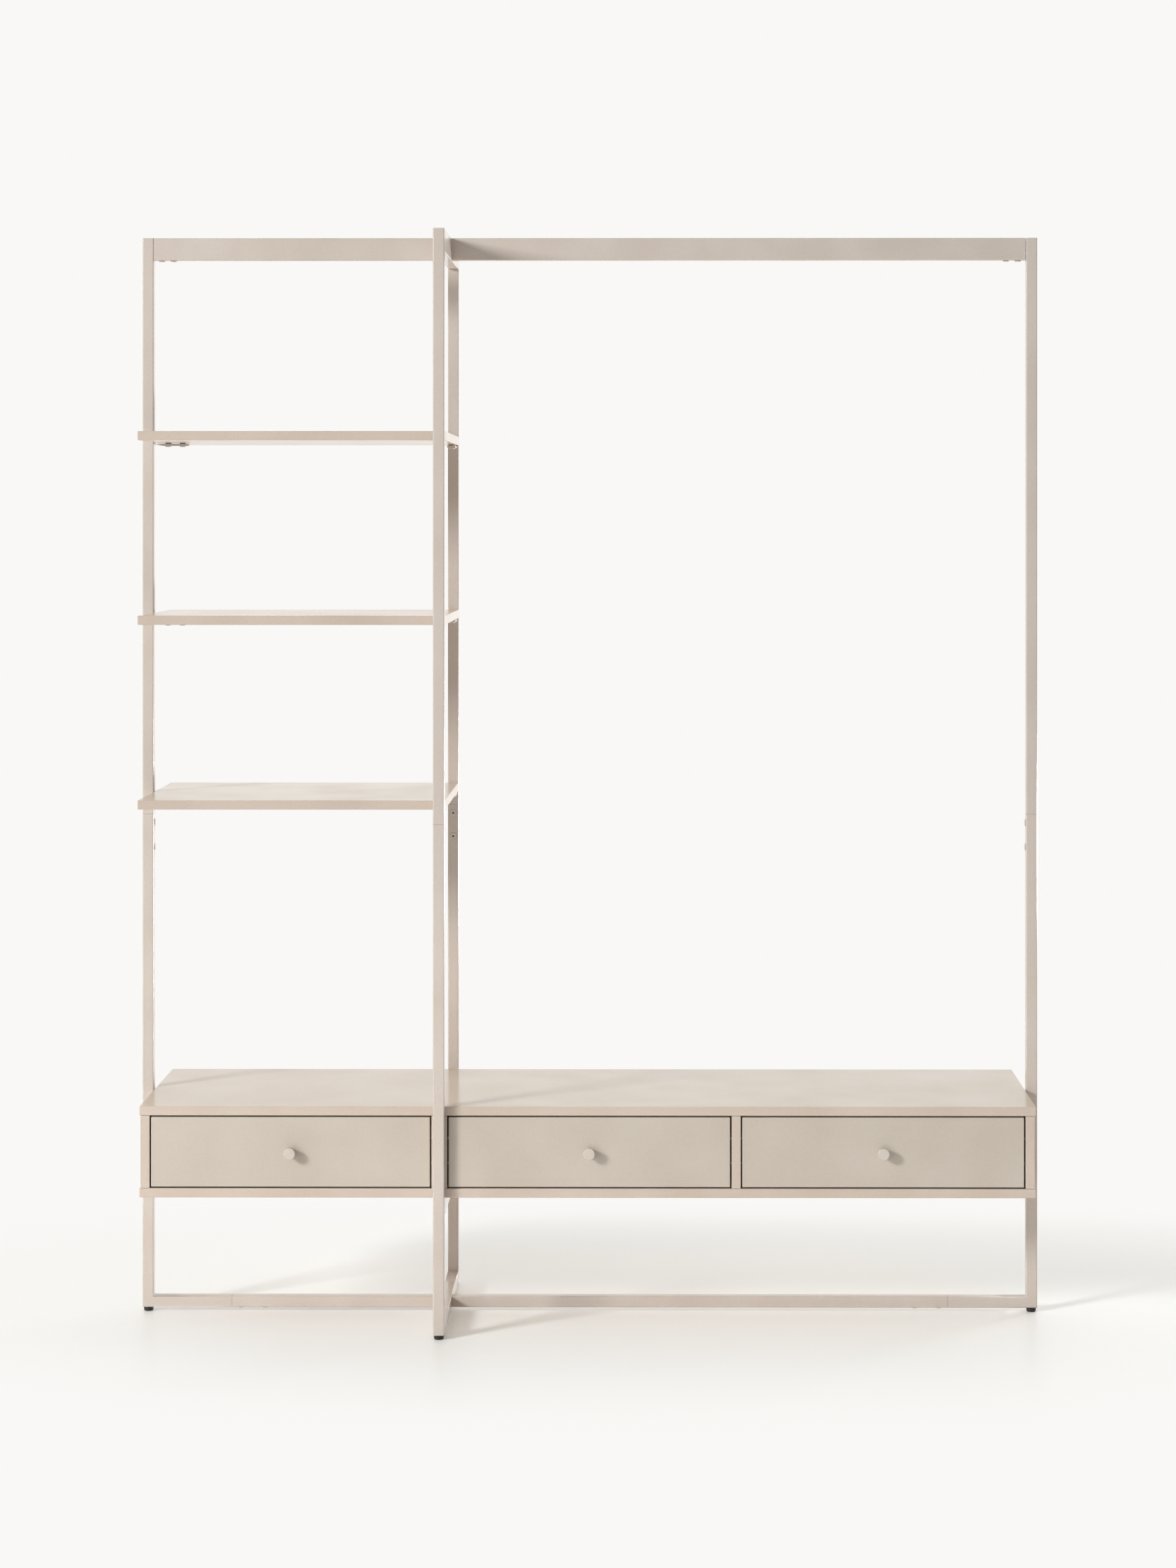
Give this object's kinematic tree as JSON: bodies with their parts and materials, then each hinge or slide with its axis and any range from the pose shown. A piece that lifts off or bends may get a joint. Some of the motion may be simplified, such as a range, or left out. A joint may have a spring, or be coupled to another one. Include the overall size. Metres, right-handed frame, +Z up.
{
  "type": "open-front wardrobe",
  "caption": "Open wardrobe: slim square-tube frame in a cross plan, shelves in one bay, open hanging bay, and a long low bench with inset drawers.",
  "frame": {"origin": "on the floor, under the middle of the whole piece", "axes": "+X to the hanging bay's side, seen from the front; the drawers open towards -Y; +Z up"},
  "size_m": [1.6, 0.44, 1.92],
  "materials": {
    "frame_steel": "powder coat, satin, warm sand",
    "screw": "button-head socket screw, coated like the frame",
    "foot_glide": "moulded, matt black",
    "board": "fibreboard, sprayed satin lacquer, warm sand",
    "drawer_front": "fibreboard, sprayed satin lacquer, warm sand",
    "knob": "turned, sprayed satin lacquer",
    "drawer_inside": "foil-wrapped board, satin",
    "slide_zinc": "rolled steel, bright zinc plated"
  },
  "bodies": {
    "frame": {"left_post_lower": "frame_steel", "left_post_upper": "frame_steel", "right_post_lower": "frame_steel", "right_post_upper": "frame_steel", "front_post_lower": "frame_steel", "front_post_upper": "frame_steel", "rear_post_lower": "frame_steel", "rear_post_upper": "frame_steel", "top_rail_left": "frame_steel", "top_rail_right": "frame_steel", "top_rail_cross": "frame_steel", "bottom_rail_left": "frame_steel", "bottom_rail_right": "frame_steel", "bottom_rail_cross": "frame_steel", "bench_rail_cross": "frame_steel", "splice_screw_left_1": "screw", "splice_screw_left_2": "screw", "splice_screw_right_1": "screw", "splice_screw_right_2": "screw", "splice_screw_rear_1": "screw", "splice_screw_rear_2": "screw", "foot_left": "foot_glide", "foot_right": "foot_glide", "foot_front": "foot_glide", "foot_rear": "foot_glide", "shelf_lower": "board", "shelf_middle": "board", "shelf_upper": "board", "bench_top": "board", "bench_bottom": "board", "bench_side_left": "board", "bench_side_right": "board", "bench_divider_centre": "board", "bench_divider_right": "board", "bench_back": "board", "channel_left_left": "slide_zinc", "channel_left_right": "slide_zinc", "channel_middle_left": "slide_zinc", "channel_middle_right": "slide_zinc", "channel_right_left": "slide_zinc", "channel_right_right": "slide_zinc"},
    "drawer_left": {"drawer_left_front": "drawer_front", "drawer_left_box": "drawer_inside", "drawer_left_bottom": "drawer_inside", "drawer_left_knob": "knob", "runner_left_left": "slide_zinc", "runner_left_right": "slide_zinc"},
    "drawer_middle": {"drawer_middle_front": "drawer_front", "drawer_middle_box": "drawer_inside", "drawer_middle_bottom": "drawer_inside", "drawer_middle_knob": "knob", "runner_middle_left": "slide_zinc", "runner_middle_right": "slide_zinc"},
    "drawer_right": {"drawer_right_front": "drawer_front", "drawer_right_box": "drawer_inside", "drawer_right_bottom": "drawer_inside", "drawer_right_knob": "knob", "runner_right_left": "slide_zinc", "runner_right_right": "slide_zinc"}
  },
  "joints": [
    {"name": "drawer_left_slide", "type": "slide", "parent": "frame", "child": "drawer_left", "axis": [0, -1, 0], "range_m": [0, 0.26]},
    {"name": "drawer_middle_slide", "type": "slide", "parent": "frame", "child": "drawer_middle", "axis": [0, -1, 0], "range_m": [0, 0.26]},
    {"name": "drawer_right_slide", "type": "slide", "parent": "frame", "child": "drawer_right", "axis": [0, -1, 0], "range_m": [0, 0.26]}
  ]
}
